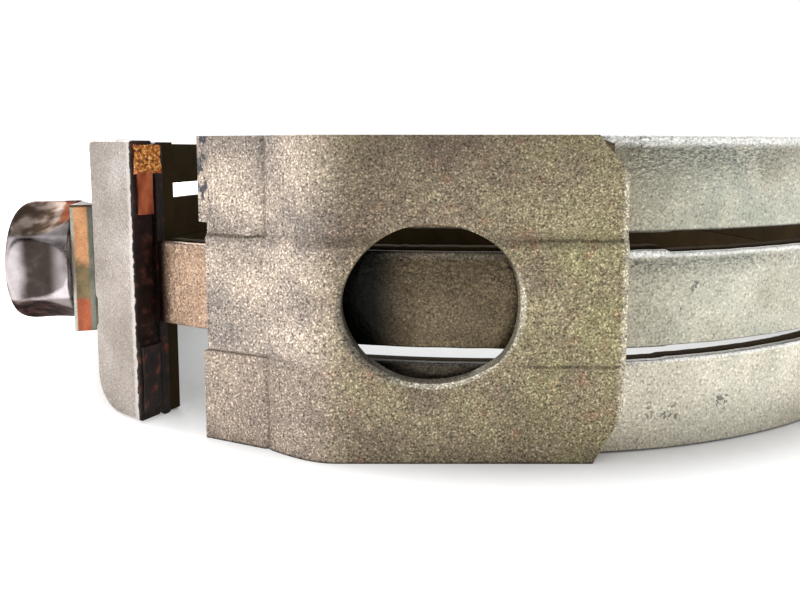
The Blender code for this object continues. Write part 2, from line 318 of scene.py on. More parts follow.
def speckle(skin, base, size, dark=0.55, bright=1.7):
    """Grains of a blasted surface: dark pits, and bright glints painted over a base colour as highlights."""
    grain = skin.noise(size, detail=2.0, roughness=0.6)
    darker = skin.spread(grain, 0.32, 0.47, dark, 1.0)
    painted_glints = skin.spread(grain, 0.55, 0.70, 1.0, bright)
    factor = skin.times(darker, painted_glints)
    grey = skin.add("ShaderNodeCombineColor", {"Red": factor, "Green": factor, "Blue": factor})
    return skin.mix(1.0, base, grey.outputs["Color"], "MULTIPLY"), grain


def bracket_material():
    """Shot-blasted sheet: grainy with painted glints, a painted highlight over its left part, yellow-green at
    the right, painted shade in its creases and along its bottom, and painted shade and highlight round its
    hole.
    """
    skin = Skin("bracket_steel", 0.5, 0.75)
    x, z = skin.x, skin.z
    patches = skin.noise(9.0 * MM)
    base = skin.ramp(patches, (0.32, 116, 102, 88), (0.50, 134, 122, 101), (0.68, 148, 138, 110))
    toward_right = skin.spread(x, -10.0 * MM, 6.0 * MM)
    blotches = skin.spread(skin.noise(6.0 * MM), 0.30, 0.65)
    lower_part = skin.spread(z, 31.0 * MM, 27.0 * MM, 0.25, 0.75)
    base = skin.paint(base, colour(146, 140, 104), toward_right, blotches, lower_part)
    rust = skin.spread(skin.noise(2.2 * MM, detail=2.0), 0.60, 0.72)
    base = skin.paint(base, colour(146, 100, 82), rust, 0.3)

    # Painted highlight: the left part made pale, as lit more from the left, and darker on its lower tab
    toward_left = skin.spread(x, -21.5 * MM, -30.0 * MM)
    low_tab = skin.spread(z, 13.0 * MM, 11.0 * MM)
    pale = skin.ramp(patches, (0.38, 152, 142, 134), (0.62, 206, 189, 173))
    pale = skin.paint(pale, colour(150, 134, 120), low_tab, 0.55)
    base = skin.paint(base, pale, toward_left, 0.9)

    # Painted shade in the crease and along the two steps
    wobble = skin.wobble(3.0 * MM, 0.7 * MM)

    def line(value, place, width):
        off = skin.calc("ABSOLUTE", skin.minus(skin.plus(value, wobble), place))
        return skin.spread(off, width, width * 0.2)

    on_tabs = skin.most(skin.spread(z, 27.4 * MM, 27.8 * MM), skin.spread(z, 12.2 * MM, 11.6 * MM))
    crease = skin.times(on_tabs, line(x, CREASE, 0.3 * MM), 0.5)
    left_half = skin.spread(x, CREASE + 0.4 * MM, CREASE)
    right_half = skin.spread(x, -3.5 * MM, 0.0)
    along = skin.most(left_half, skin.times(right_half, 0.8))
    steps = skin.most(line(z, 27.45 * MM, 0.30 * MM), line(z, 12.2 * MM, 0.36 * MM))
    crease_and_step_shade = skin.most(crease, skin.times(along, steps))
    base = skin.paint(base, colour(66, 56, 44), crease_and_step_shade, 0.75)

    # The hole's rim: painted shade at its lower left and a painted highlight at its lower right; the sheet's
    # right edge is lighter from wear, with a painted highlight
    across = skin.calc("DIVIDE", skin.minus(x, HOLE_CENTRE.x), HOLE_HALF[0])
    upward = skin.calc("DIVIDE", skin.minus(z, HOLE_CENTRE.z), HOLE_HALF[1])
    squares = skin.plus(skin.times(across, across), skin.times(upward, upward))
    from_rim = skin.calc("ABSOLUTE", skin.minus(skin.calc("SQRT", squares), 1.02))
    rim = skin.spread(from_rim, 0.065, 0.03)
    low_left = skin.spread(skin.plus(across, upward), -0.6, -1.1)
    low_right = skin.spread(skin.minus(across, upward), 0.3, 1.0)
    base = skin.paint(base, colour(70, 72, 68), rim, low_left, 0.6)
    right_edge = skin.spread(x, BRACKET_RIGHT - 0.9 * MM, BRACKET_RIGHT - 0.35 * MM)
    highlight_and_wear = skin.most(skin.times(rim, low_right), skin.times(right_edge, 0.7))
    base = skin.paint(base, colour(206, 198, 180), highlight_and_wear, 0.75)
    # Painted shade along the bottom edge, where the sheet meets the floor
    bottom = skin.spread(z, 0.40 * MM, 0.12 * MM)
    base = skin.paint(base, colour(54, 48, 42), bottom, 0.7)

    # Rubbed marks on the upper tab's left edge
    rubbed = skin.noise(1.0 * MM, place=skin.stretched(1.0, 1.0, 0.5))
    rubbed = skin.spread(rubbed, 0.46, 0.60)
    on_upper_tab = skin.spread(z, 29.0 * MM, 30.5 * MM)
    at_left = skin.spread(x, BRACKET_LEFT + 1.6 * MM, BRACKET_LEFT + 0.4 * MM)
    base = skin.paint(base, colour(84, 82, 86), rubbed, on_upper_tab, at_left)

    base, grain = speckle(skin, base, 0.25 * MM, 0.32, 2.4)
    base, _ = speckle(skin, base, 0.60 * MM, 0.80, 1.20)
    skin.bump(grain, 0.09 * MM)
    skin.bump(skin.noise(1.1 * MM, detail=2.0), 0.12 * MM)
    return skin.finish(base, skin.spread(grain, 0.35, 0.7, 0.62, 0.36))


def wetted_material():
    """Steel stained brown where braze ran out past the bracket's edge."""
    skin = Skin("wetted_steel", 0.5, 0.7)
    base = skin.ramp(
        skin.noise(1.4 * MM),
        (0.32, 74, 60, 42), (0.55, 88, 74, 54), (0.80, 98, 72, 50),
    )
    base, grain = speckle(skin, base, 0.30 * MM, 0.5, 1.8)
    skin.bump(grain, 0.08 * MM)
    return skin.finish(base)


def strap_material(name, drop, pale, edge_width, band_width, shaded, dents=(), rippled=False):
    """Light grey strip: cream and greenish patches, a fine ripple, a painted highlight on its upper edge over
    a dark speckled band, painted shade along its lower edge and behind the bracket, a black painted shadow
    left of the bracket's hole, a scorched end darkened by painted shade, and clusters of small dents (x, z,
    radius).
    pale is painted light that makes the whole strip lighter.
    drop is how far the strap's lower edge shows below its CAD place."""
    low, high = (corner.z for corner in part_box(name + "_strap"))
    skin = Skin(name + "_strap_steel", 0.42, 0.8)
    x, z = skin.x, skin.z
    base = skin.ramp(
        skin.noise(16.0 * MM, detail=4.0),
        (0.30, 150, 146, 128), (0.46, 180, 177, 162), (0.60, 158, 160, 147), (0.74, 198, 190, 170),
    )
    near_bracket = skin.spread(x, 28.0 * MM, 6.0 * MM)
    base = skin.paint(base, colour(126, 118, 98), near_bracket, 0.75)
    # Painted light: pale makes the whole strip lighter, most on the lower strap
    base = skin.mix(pale, base, colour(226, 218, 200))

    # Its long edges, and the band under the upper one
    beside = skin.window(x, (10.0 * MM, 14.0 * MM), (42.0 * MM, 30.0 * MM))
    scratches = skin.noise(0.42 * MM, detail=2.0, roughness=0.7, place=skin.stretched(0.7, 0.7, 1.5))
    marks = skin.spread(scratches, 0.55, 0.40)
    band = skin.window(
        z, (high - band_width, high - 0.25 * band_width), (high - 0.6 * MM, high - 1.2 * MM)
    )
    base = skin.paint(base, colour(92, 94, 92), band, marks, beside, 0.75)
    # Painted highlight on the upper edge, which catches the light from above
    highlit_top_edge = skin.spread(z, high - edge_width, high - 0.4 * edge_width)
    base = skin.paint(base, colour(244, 244, 240), highlit_top_edge, 0.75)
    # Painted shade along the lower edge, which faces down
    shaded_bottom_edge = skin.spread(z, low - drop + 0.40 * MM, low - drop + 0.15 * MM)
    base = skin.paint(base, colour(58, 54, 48), shaded_bottom_edge, 0.75)

    # Near the bracket: tinted by copper left of it, painted shade behind it, a black painted shadow left of
    # its hole
    in_front = skin.spread(skin.y, -60.0 * MM, -70.0 * MM)
    tunnel = skin.spread(x, -30.0 * MM, -38.0 * MM)
    base = skin.paint(base, colour(184, 152, 128), tunnel, in_front, 0.85)
    behind = skin.window(x, (9.0 * MM, 6.0 * MM), (-32.0 * MM, -29.0 * MM))
    base = skin.paint(base, shaded, behind, in_front, 0.92)
    hole_shadow = skin.window(x, (-14.0 * MM, -20.5 * MM), (-32.0 * MM, -29.0 * MM))
    base = skin.paint(base, colour(5, 5, 3), hole_shadow, in_front, 0.99)
    base, grain = speckle(skin, base, 0.34 * MM, 0.60, 1.5)
    sharp, _ = speckle(skin, base, 0.24 * MM, 0.35, 1.5)
    base = skin.paint(base, sharp, near_bracket, 0.8)

    # Dents, pits, the blasted part behind the bracket, and the scorched end, darkened further as painted
    # shade
    dots = skin.spread(skin.noise(0.5 * MM, detail=1.0), 0.50, 0.40)
    for dent_x, dent_z, radius in dents:
        away = skin.vector("DISTANCE", skin.flat, (dent_x, 0.0, dent_z))
        field = skin.spread(away, radius, 0.4 * radius)
        base = skin.paint(base, colour(84, 84, 78), field, dots, in_front, 0.8)
    pit_field = skin.spread(skin.noise(7.0 * MM), 0.60, 0.68)
    pit_dots = skin.spread(skin.noise(0.8 * MM, detail=1.0), 0.36, 0.30)
    base = skin.paint(base, colour(62, 58, 50), pit_field, pit_dots)
    blasted = skin.spread(x, 9.0 * MM, 6.0 * MM)
    coarse, _ = speckle(skin, base, 0.27 * MM, 0.5, 1.7)
    base = skin.paint(base, coarse, blasted, in_front)
    scorch_and_shade = skin.spread(x, -48.8 * MM, -50.6 * MM)
    base = skin.paint(base, colour(30, 14, 10), scorch_and_shade, in_front)

    skin.bump(grain, 0.05 * MM)
    skin.bump(skin.noise(0.9 * MM, detail=2.0), 0.10 * MM)
    if rippled:
        ripple = skin.noise(0.75 * MM, detail=2.0, roughness=0.6, place=skin.stretched(0.8, 0.8, 1.7))
        upper_part = skin.spread(z, high - 9.0 * MM, high - 3.0 * MM)
        where = skin.window(x, (10.0 * MM, 16.0 * MM), (36.0 * MM, 26.0 * MM))
        skin.bump(skin.times(ripple, upper_part, where), 0.45 * MM)
    return skin.finish(base, skin.spread(skin.noise(5.0 * MM), 0.35, 0.65, 0.30, 0.50))


def lining_material():
    """Dark olive-brown friction paper with fine fibres."""
    skin = Skin("friction_paper", 0.9, 0.0)
    fibre = skin.noise(0.25 * MM, roughness=0.7)
    cloud = skin.noise(6.0 * MM)
    base = skin.ramp(cloud, (0.3, 33, 24, 8), (0.7, 45, 34, 13))
    base = skin.mix(skin.spread(fibre, 0.45, 0.75, 0.0, 0.4), base, colour(58, 45, 22))
    skin.shader.inputs["Specular IOR Level"].default_value = 0.12
    skin.bump(fibre, 0.05 * MM)
    return skin.finish(base)


def copper_material(name, golden_above=0.0):
    """Copper brazing: smooth orange to red, and grainy gold above a height where one is given."""
    skin = Skin(name, 0.38, 0.55)
    base = skin.ramp(
        skin.noise(1.8 * MM, detail=4.0, place=skin.stretched(1.0, 1.0, 0.45)),
        (0.30, 92, 40, 26), (0.48, 158, 76, 46), (0.66, 190, 108, 68),
    )
    fine = skin.noise(0.3 * MM, detail=2.0)
    if golden_above:
        grains = skin.ramp(
            skin.noise(0.42 * MM, detail=2.0, roughness=0.7),
            (0.32, 46, 24, 12), (0.47, 156, 84, 24), (0.60, 222, 150, 66), (0.72, 255, 220, 160),
        )
        share = skin.spread(skin.z, golden_above, golden_above + 0.8 * MM)
        base = skin.mix(share, base, grains)
        skin.bump(skin.times(fine, share), 0.25 * MM)
    skin.bump(fine, 0.04 * MM)
    return skin.finish(base)


def scorched_material():
    """Braze flux scorched nearly black, with streaks of red copper; on the junction strip its near black is
    partly painted shade.
    """
    skin = Skin("scorched_braze", 0.5, 0.4)
    base = skin.ramp(
        skin.noise(1.3 * MM, place=skin.stretched(1.0, 1.0, 0.6)),
        (0.36, 16, 9, 7), (0.58, 36, 20, 15), (0.68, 104, 46, 34), (0.76, 50, 30, 24),
    )
    skin.bump(skin.noise(0.5 * MM), 0.12 * MM)
    return skin.finish(base)


def plate_material():
    """The junction plate: blasted face, and a scorched brown end face darkened by painted shade, with a
    bright edge of chips and a painted highlight.
    """
    skin = Skin("junction_plate_steel", 0.5, 0.7)
    base = skin.ramp(
        skin.noise(8.0 * MM),
        (0.30, 150, 140, 130), (0.52, 174, 164, 156), (0.70, 190, 182, 176),
    )
    base, grain = speckle(skin, base, 0.26 * MM, 0.62, 1.5)
    right_end = ALONG.dot(AXIS) + PLATE_START
    sideways = skin.minus(skin.vector("DOT_PRODUCT", skin.place, ALONG), right_end)
    depth = skin.plus(sideways, skin.wobble(0.9 * MM, 0.9 * MM))
    # A painted highlight with chips along the edge by the end face
    highlight_and_chips = skin.spread(depth, 1.7 * MM, 1.0 * MM)
    base = skin.paint(base, colour(224, 216, 210), highlight_and_chips, 0.6)
    # The scorched end face, darkened by painted shade
    scorch_and_shade = skin.noise(1.6 * MM)
    scorch_and_shade = skin.ramp(scorch_and_shade, (0.35, 20, 10, 7), (0.58, 38, 20, 15), (0.74, 88, 50, 38))
    base = skin.mix(skin.spread(depth, 0.75 * MM, 0.55 * MM), base, scorch_and_shade)
    skin.bump(grain, 0.07 * MM)
    skin.bump(skin.noise(1.4 * MM), 0.15 * MM)
    return skin.finish(base)


def lug_material():
    """The lug: copper at the top and bottom of its front, olive in the middle, grey sides."""
    skin = Skin("lug_steel", 0.45, 0.6)
    height = skin.plus(skin.z, skin.wobble(2.0 * MM, 2.5 * MM))
    tone = skin.noise(2.5 * MM, place=skin.stretched(1.0, 1.0, 0.5))
    orange = skin.ramp(tone, (0.35, 200, 134, 90), (0.6, 236, 178, 128))
    red = skin.ramp(tone, (0.35, 138, 70, 46), (0.6, 184, 100, 66))
    olive = skin.ramp(tone, (0.35, 98, 86, 62), (0.6, 140, 122, 86))
    grey = skin.ramp(tone, (0.35, 86, 88, 76), (0.6, 134, 136, 122))
    face = skin.mix(skin.spread(height, 14.4 * MM, 15.4 * MM), red, olive)
    face = skin.mix(skin.spread(height, 19.6 * MM, 21.4 * MM), face, orange)
    side = skin.minus(skin.vector("DOT_PRODUCT", skin.place, DIRECTION), DIRECTION.dot(LUG_FRONT))
    face = skin.mix(skin.spread(side, -2.2 * MM, -2.6 * MM), face, grey)
    face = skin.mix(skin.spread(side, -0.55 * MM, -0.30 * MM), face, colour(186, 184, 172))
    top = skin.spread(skin.z, LUG_TOP - 0.5 * MM, LUG_TOP - 0.2 * MM)
    face = skin.mix(top, face, colour(74, 56, 46))
    face, grain = speckle(skin, face, 0.30 * MM, 0.8, 1.2)
    skin.bump(grain, 0.04 * MM)
    return skin.finish(face)


def button_material():
    """Smooth steel: painted dark reflections on the hollow flats, painted highlights with some wear on its
    ridges and ends, copper above its base.
    """
    skin = Skin("button_steel", 0.26, 0.95)
    middle = BUTTON_BASE.z
    offset = skin.vector("SUBTRACT", skin.place, BUTTON_BASE, output="Vector")
    out = skin.vector("DOT_PRODUCT", offset, DIRECTION)
    reach = skin.vector("LENGTH", offset)
    radial = skin.calc("SQRT", skin.minus(skin.times(reach, reach), skin.times(out, out)))
    cloud = skin.noise(3.0 * MM)
    soft = skin.times(skin.minus(cloud, 0.5), 1.2 * MM)
    along_out = skin.plus(out, soft)

    # Painted highlights, with some wear: its ridges, both ends of the front flat, and the end face
    above = skin.spread(skin.z, middle + 4.6 * MM, middle + 5.2 * MM)
    below = skin.spread(skin.z, middle - 4.6 * MM, middle - 5.2 * MM)
    front_flat = skin.minus(1.0, skin.most(above, below))
    ridges = skin.plus(radial, skin.times(soft, 0.3))
    ridges = skin.spread(ridges, BUTTON_RADIUS - 0.28 * MM, BUTTON_RADIUS)
    ridges = skin.times(ridges, skin.plus(0.3, skin.times(front_flat, 0.7)))
    outer_end = skin.spread(along_out, BUTTON_LENGTH - 2.2 * MM, BUTTON_LENGTH - 0.2 * MM)
    collar = skin.spread(along_out, 3.2 * MM, 1.2 * MM)
    end_face = skin.spread(out, BUTTON_LENGTH + 0.75 * MM, BUTTON_LENGTH + 1.0 * MM)
    bright = skin.most(
        ridges, skin.times(outer_end, front_flat), skin.times(collar, front_flat, 0.5), end_face
    )

    # Painted dark reflections on the flats, streaked on the upper and lower ones
    streak = skin.spread(skin.noise(2.6 * MM, detail=2.0), 0.36, 0.70)
    dark = skin.ramp(cloud, (0.30, 50, 42, 38), (0.55, 66, 58, 54), (0.75, 96, 88, 84))
    dark = skin.mix(above, dark, skin.mix(streak, colour(60, 52, 46), colour(116, 106, 100)))
    dark = skin.mix(below, dark, skin.mix(streak, colour(66, 57, 53), colour(104, 94, 90)))
    highlight_and_wear = skin.ramp(cloud, (0.35, 158, 148, 148), (0.65, 206, 198, 200))
    base = skin.mix(bright, dark, highlight_and_wear)
    near_base = skin.spread(skin.plus(out, skin.wobble(1.5 * MM, 2.0 * MM)), 2.4 * MM, 1.9 * MM)
    on_top = skin.spread(skin.z, middle + 6.4 * MM, middle + 7.2 * MM)
    base = skin.paint(base, colour(86, 60, 48), near_base, on_top, 0.9)

    skin.shader.inputs["Specular Tint"].default_value = colour(140, 134, 134)
    skin.bump(skin.noise(0.5 * MM, detail=2.0), 0.012 * MM)
    skin.bump(skin.noise(2.5 * MM, detail=2.0), 0.06 * MM)
    return skin.finish(base, skin.spread(cloud, 0.35, 0.65, 0.24, 0.38))


# ---------------- straps and linings

FAR_START = (45.0, 85.0)            # where the side away from the bracket sets in, and where it ends
FAR_END = (275.0, 300.0)
STRAP_TIE_START = -19.0             # the stubs of the cut ties run from under the bracket to TIE_END
LINING_TIE_START = -22.0
TIE_END = 11.2


def far_side(angle):
    """1 on the side away from the bracket."""
    return smooth(angle, *FAR_START) * (1.0 - smooth(angle, *FAR_END))


def settle(name, angle):
    """How far a strap's lower and upper edges lie from their CAD heights: the ties between the
    straps left the edges wider beside the bracket, and the middle strap has sunk on the far side."""
    far = far_side(angle)
    tie = (1.0 - smooth(angle, TIE_END - 0.15, TIE_END + 0.15)) * (angle > STRAP_TIE_START)
    if name == "upper":
        beside = smooth(angle, -1.0, 4.0) * (1.0 - far)
        narrow_end = smooth(angle, 311.0, 316.0)
        lower_edge, upper_edge = 0.4 - (0.5 + 0.15 * tie) * beside, -0.8 * narrow_end
    elif name == "middle":
        behind = 1.0 - smooth(angle, -4.0, 2.0)
        lower_edge, upper_edge = 0.2 * behind - 0.1 * tie - 0.48 * far, 0.35 * tie - 0.9 * far
    else:
        lower_edge, upper_edge = 0.0, 0.95 * far - 0.15 * tie
    return lower_edge * MM, upper_edge * MM


def squeeze_out(name, angle, ragged):
    """How far a lining stands above its place under its strap's upper edge."""
    if name == "lower":
        return (0.1 + 0.06 * ragged) * MM * smooth(angle, -3.0, 1.0) + 0.3 * MM * far_side(angle)
    tie = (1.0 - smooth(angle, TIE_END, TIE_END + 0.4)) * (angle > LINING_TIE_START)
    near = 1.0 - smooth(angle, 30.0, 60.0)
    return (0.12 + 0.2 * near + 0.22 * tie + 0.12 * ragged * near) * MM


def add_strap(name, span, material):
    """A strap whose long edges are slightly uneven and lie just inside its CAD edges."""
    low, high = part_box(name + "_strap")
    margin, unevenness, feature = 0.02 * MM, 0.05 * MM, 2.5 * MM

    def section(angle):
        here = ring_point(angle, RADIUS)
        outer = RADIUS + flare(angle)
        rough_low = unevenness * (1.0 + wander(here.x, here.y, 0.0, feature))
        rough_high = unevenness * (1.0 + wander(here.x, here.y, 1.0, feature))
        lower_edge, upper_edge = settle(name, angle)
        bottom = low.z + lower_edge + margin + rough_low
        top = high.z + upper_edge - margin - rough_high
        return rounded_section(outer - STEEL, outer, bottom, top, 0.3 * MM)

    dress(sweep(name + "_strap_piece", span, section), name + "_strap", material)


def lining_spans(start, end):
    """The three segments that the CAD model cuts a strap's lining into, with nearly closed seams."""
    seam, end_inset = 0.06, 0.5
    first = max(start + end_inset, JUNCTION_LINING[1] + 0.45)
    length = (end - end_inset - first - 2.0 * seam) / 3.0
    return [(first + i * (length + seam), first + i * (length + seam) + length) for i in range(3)]


def add_linings(name, span, material):
    least, most = 0.1 * MM, BAND_WIDTH - 0.1 * MM
    for index, segment in enumerate(lining_spans(*span)):
        node = f"{name}_lining_{index + 1}"
        low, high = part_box(node)

        def section(angle, low=low, high=high):
            here = ring_point(angle, RADIUS)
            outer = RADIUS + flare(angle) - STEEL
            inner = RADIUS + flare(angle) - LINING_DEPTH
            ragged = wander(here.x, here.y, low.z, 0.9 * MM)
            lower_edge, upper_edge = settle(name, angle)
            bottom = low.z + lower_edge + 0.08 * MM * ragged
            top = high.z + upper_edge + squeeze_out(name, angle, ragged)
            return rounded_section(inner, outer, max(bottom, least), min(top, most), 0.12 * MM, 2)

        dress(sweep(node + "_piece", segment, section), node, material)


# ---------------- anchor bracket

PLATE_LOW, PLATE_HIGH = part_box("anchor_bracket")
EMBOSS = 0.5 * MM
PLATE_FACE = CENTRE_Y - PLATE_LOW.y - EMBOSS
BRACKET_LEFT = PLATE_LOW.x + 0.5 * MM
BRACKET_RIGHT = PLATE_HIGH.x
CREASE = -33.6 * MM
SHOULDER = -24.4 * MM
TAB_END_DEPTH = 81.4 * MM
CREASE_DEPTH = 84.6 * MM
TUNNEL_RISE = 1.0 * MM
STEPS = ((12.0 * MM, 12.8 * MM), (27.8 * MM, 27.0 * MM))    # foot and top of the lower and upper step
SHEET = 1.7 * MM
HOLE_CENTRE = Vector((-13.15 * MM, 0.0, 19.75 * MM))
HOLE_HALF = (10.65 * MM, 9.7 * MM)
HOLE_LIP = 0.45 * MM
LOWER_CORNER = (6.7 * MM, 6.2 * MM)     # where each right corner's cut starts on the long edge, in x,
UPPER_CORNER = (6.5 * MM, 35.3 * MM)    # and on the right edge, in z


def bracket_depth(x):
    """How far the sheet's outer face is in front of the ring's axis."""
    if x < CREASE:
        share = (x - BRACKET_LEFT) / (CREASE - BRACKET_LEFT)
        return TAB_END_DEPTH + (CREASE_DEPTH - TAB_END_DEPTH) * share
    share = min((x - CREASE) / (SHOULDER - CREASE), 1.0)
    return CREASE_DEPTH + (PLATE_FACE - CREASE_DEPTH) * math.sin(share * math.pi / 2.0)


def bracket_rise(x, z):
    """How far the sheet's raised middle stands out there, less the groove across its tabs."""
    share = min(max((x - BRACKET_LEFT) / (SHOULDER - BRACKET_LEFT), 0.0), 1.0)
    rise = TUNNEL_RISE + (EMBOSS - 0.02 * MM - TUNNEL_RISE) * share
    blur = 0.5 * MM * share          # a crisp step at the tabs, a soft one beside the hole
    lower = smooth(z, STEPS[0][0] - blur, STEPS[0][1] + blur)
    upper = smooth(z, STEPS[1][0] + blur, STEPS[1][1] - blur)
    on_tabs = 1.0 - 0.75 * lower * upper
    groove = 0.18 * MM * on_tabs * math.exp(-((x - CREASE) / (0.35 * MM)) ** 2)
    return rise * lower * upper - groove


def left_edge(z):
    """How far the bracket's left edge lies from its middle place: the upper tab is the longest."""
    if z > 28.95 * MM:
        return -0.75 * MM
    return 0.45 * MM if z > 11.9 * MM else -0.5 * MM


def oval_cutter(face_y):
    """The hole's cutter: an oval that opens out over a rounded lip at the sheet's face."""
    lip = HOLE_LIP
    levels = [(6.0 * MM, 0.0), (lip, 0.0)]      # depth behind the face, and how much wider
    for step in range(1, 7):
        turn = math.radians(15.0 * step)
        levels.append((lip * (1.0 - math.sin(turn)), lip * (1.0 - math.cos(turn))))
    levels.append((-4.0 * MM, lip))
    rings = []
    for depth, wider in levels:
        ring = []
        for turn in full_turn(96):
            power = 2.0 / (2.08 + 0.22 * math.cos(turn))
            across = math.copysign(abs(math.cos(turn)) ** power, math.cos(turn))
            upward = math.copysign(abs(math.sin(turn)) ** power, math.sin(turn))
            x = HOLE_CENTRE.x + (HOLE_HALF[0] + wider) * across
            z = HOLE_CENTRE.z + (HOLE_HALF[1] + wider) * upward
            ring.append((x, face_y + depth, z))
        rings.append(ring)
    return loft("oval_cutter", rings)


def prism(name, outline, low_y, high_y):
    """A solid from an (x, z) outline, between two depths."""
    return loft(name, [[(x, depth, z) for x, z in outline] for depth in (low_y, high_y)])


def between(start, end, count):
    """Even steps from start up to, but not including, end."""
    return [start + (end - start) * index / count for index in range(count)]


def add_bracket(material):
    """A grid bent to the sheet's shape, thickened, with its hole and its right corners cut out."""
    fold = 1.2 * MM                 # half the width of the crease
    columns = between(BRACKET_LEFT, CREASE - fold, 8) + between(CREASE - fold, CREASE + fold, 16)
    columns += between(CREASE + fold, SHOULDER, 22) + between(SHOULDER, BRACKET_RIGHT, 8) + [BRACKET_RIGHT]
    margin = 0.02 * MM
    rows = [margin, 6.0 * MM, 11.4 * MM, 11.65 * MM, 11.85 * MM]
    rows += between(11.95 * MM, 13.4 * MM, 6) + [13.4 * MM, 20.0 * MM]
    rows += between(26.4 * MM, 28.4 * MM, 8) + [28.4 * MM]
    rows += [28.9 * MM, 29.0 * MM, 34.0 * MM, BAND_WIDTH - margin]
    bm = bmesh.new()
    grid = []
    for z in rows:
        row = []
        for x in columns:
            share = max((CREASE - fold - x) / (CREASE - fold - BRACKET_LEFT), 0.0)
            x += left_edge(z) * share
            row.append(bm.verts.new((x, CENTRE_Y - bracket_depth(x) - bracket_rise(x, z), z)))
        grid.append(row)
    for lower, upper in zip(grid, grid[1:]):
        for index in range(len(columns) - 1):
            bm.faces.new((lower[index], lower[index + 1], upper[index + 1], upper[index]))
    bracket = add_object("anchor_bracket_piece", bm)
    solid = bracket.modifiers.new("thickness", "SOLIDIFY")
    solid.thickness = SHEET
    solid.offset = -1.0
    solid.use_even_offset = True
    use_modifiers(bracket)
    face_y = CENTRE_Y - PLATE_FACE - EMBOSS
    subtract(bracket, oval_cutter(face_y))
    beyond = 4.0 * MM               # how far a corner's cutter runs past the sheet
    outside = BRACKET_RIGHT + beyond
    for (x, z), edge, away in ((LOWER_CORNER, 0.0, -beyond), (UPPER_CORNER, BAND_WIDTH, beyond)):
        slope = (BRACKET_RIGHT - x) / abs(edge - z)
        outline = (
            (x - beyond * slope, edge + away), (outside, edge + away),
            (outside, z - math.copysign(beyond / slope, away)),
        )
        subtract(bracket, prism("corner", outline, face_y - beyond, face_y + 2.0 * beyond))
    round_edges(bracket, 0.32 * MM, 3, 50.0)
    dress(bracket, "anchor_bracket", material, 35.0)


UNDER_TABS = (-26.9, -22.8)         # where the copper lies
WETTED = (4.3, 6.1)                 # where the stained patches lie
WETTED_PEAK = 5.0
WETTED_HEIGHTS = {"upper": (34.2 * MM, BAND_WIDTH - 0.5 * MM), "lower": (0.6 * MM, 6.0 * MM)}


def add_anchor_brazing(copper, smear):
    """Copper under the tabs, and thin wetted patches past the bracket's right edge."""
    for side, (bottom, top) in WETTED_HEIGHTS.items():
        node = f"anchor_braze_{side}_left"
        low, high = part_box(node)

        def under_tab(angle, low=low, high=high):
            outer = RADIUS + flare(angle)
            return rounded_section(outer - 0.05 * MM, outer + 0.85 * MM, low.z, high.z, 0.2 * MM, 2)

        dress(sweep(node + "_piece", UNDER_TABS, under_tab), node, copper)

        def beside_edge(angle, bottom=bottom, top=top):
            share = smooth(angle, WETTED[0], WETTED_PEAK) * (1.0 - smooth(angle, WETTED_PEAK, WETTED[1]))
            outer = RADIUS + 0.02 * MM + 0.12 * MM * share
            shrink = 2.2 * MM * (1.0 - share)
            return rounded_section(RADIUS - 0.2 * MM, outer, bottom + shrink, top - 0.2 * shrink, 0.1 * MM, 2)

        node = f"anchor_braze_{side}_right"
        dress(sweep(node + "_piece", WETTED, beside_edge, 0.15), node, smear)


# ---------------- junction

NORMAL_ANGLE = -32.7                # the way the flat plate faces
AXIS = ring_point(0.0, 0.0)
OUTWARD = (ring_point(NORMAL_ANGLE, 1.0) - AXIS).normalized()
ALONG = Vector((OUTWARD.y, -OUTWARD.x, 0.0))
JUNCTION_FACE = 93.56 * MM          # the plate's outer face, from the ring's axis
STOCK = 3.1 * MM                    # thickness of the plate and of the lug
PLATE_START = 2.75 * MM             # the plate's right end, along it from the axis
PLATE_WIDTH = 10.2 * MM
GOLDEN_ABOVE = 34.8 * MM            # the upper brazing is grainy gold above this height


def junction_place(sideways, depth, z):
    """A point from its distance along the plate, its distance from the ring's axis and its height."""
    return AXIS + ALONG * sideways + OUTWARD * depth + Vector((0.0, 0.0, z))


def add_junction_plate(material):
    """A plate with a large round corner, and a shallow step in each of its long edges."""
    low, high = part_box("junction_plate")
    right, left = PLATE_START, PLATE_START + PLATE_WIDTH
    right_in, left_in = right + 0.35 * MM, left - 0.45 * MM
    corner, nick = 5.2 * MM, 0.9 * MM
    outline = [(right, low.z), (left - corner, low.z)]
    outline += arc(left - corner, low.z + corner, corner, -90.0, 0.0, 8)[1:]
    outline += [(left, 12.5 * MM), (left_in, 13.0 * MM), (left_in, 16.5 * MM), (left, 17.2 * MM)]
    outline += arc(left - nick, high.z - nick, nick, 0.0, 90.0, 4)
    outline += [(right, high.z), (right, 29.4 * MM), (right_in, 29.0 * MM)]
    outline += [(right_in, 12.2 * MM), (right, 11.8 * MM)]
    depths = (JUNCTION_FACE - STOCK, JUNCTION_FACE)
    rings = [[junction_place(w, depth, z) for w, z in outline] for depth in depths]
    plate = loft("junction_plate_piece", rings)
    round_edges(plate, 0.35 * MM, 3, 30.0)
    dress(plate, "junction_plate", material)


def lump(name, corner_low, corner_high, grain, size, cuts=14):
    """A rough block between two (sideways, depth, height) corners, its surface pushed by noise."""
    bm = bmesh.new()
    bmesh.ops.create_cube(bm, size=1.0)
    bmesh.ops.subdivide_edges(bm, edges=bm.edges, cuts=cuts, use_grid_fill=True)
    low, high = Vector(corner_low), Vector(corner_high)
    centre = (low + high) / 2.0
    for vert in bm.verts:
        even = [c + 0.5 for c in vert.co]
        crowded = [math.copysign(1.0 - (1.0 - abs(2.0 * c)) ** 2, c) / 2.0 + 0.5 for c in vert.co]
        share = Vector(even).lerp(Vector(crowded), 0.35)
        local = Vector([a + (b - a) * t for a, b, t in zip(low, high, share)])
        push = wander(local.x, local.y, local.z, size) * grain
        local += (local - centre).normalized() * (push - grain)
        vert.co = junction_place(*local)
    bmesh.ops.recalc_face_normals(bm, faces=bm.faces)
    return add_object(name, bm)


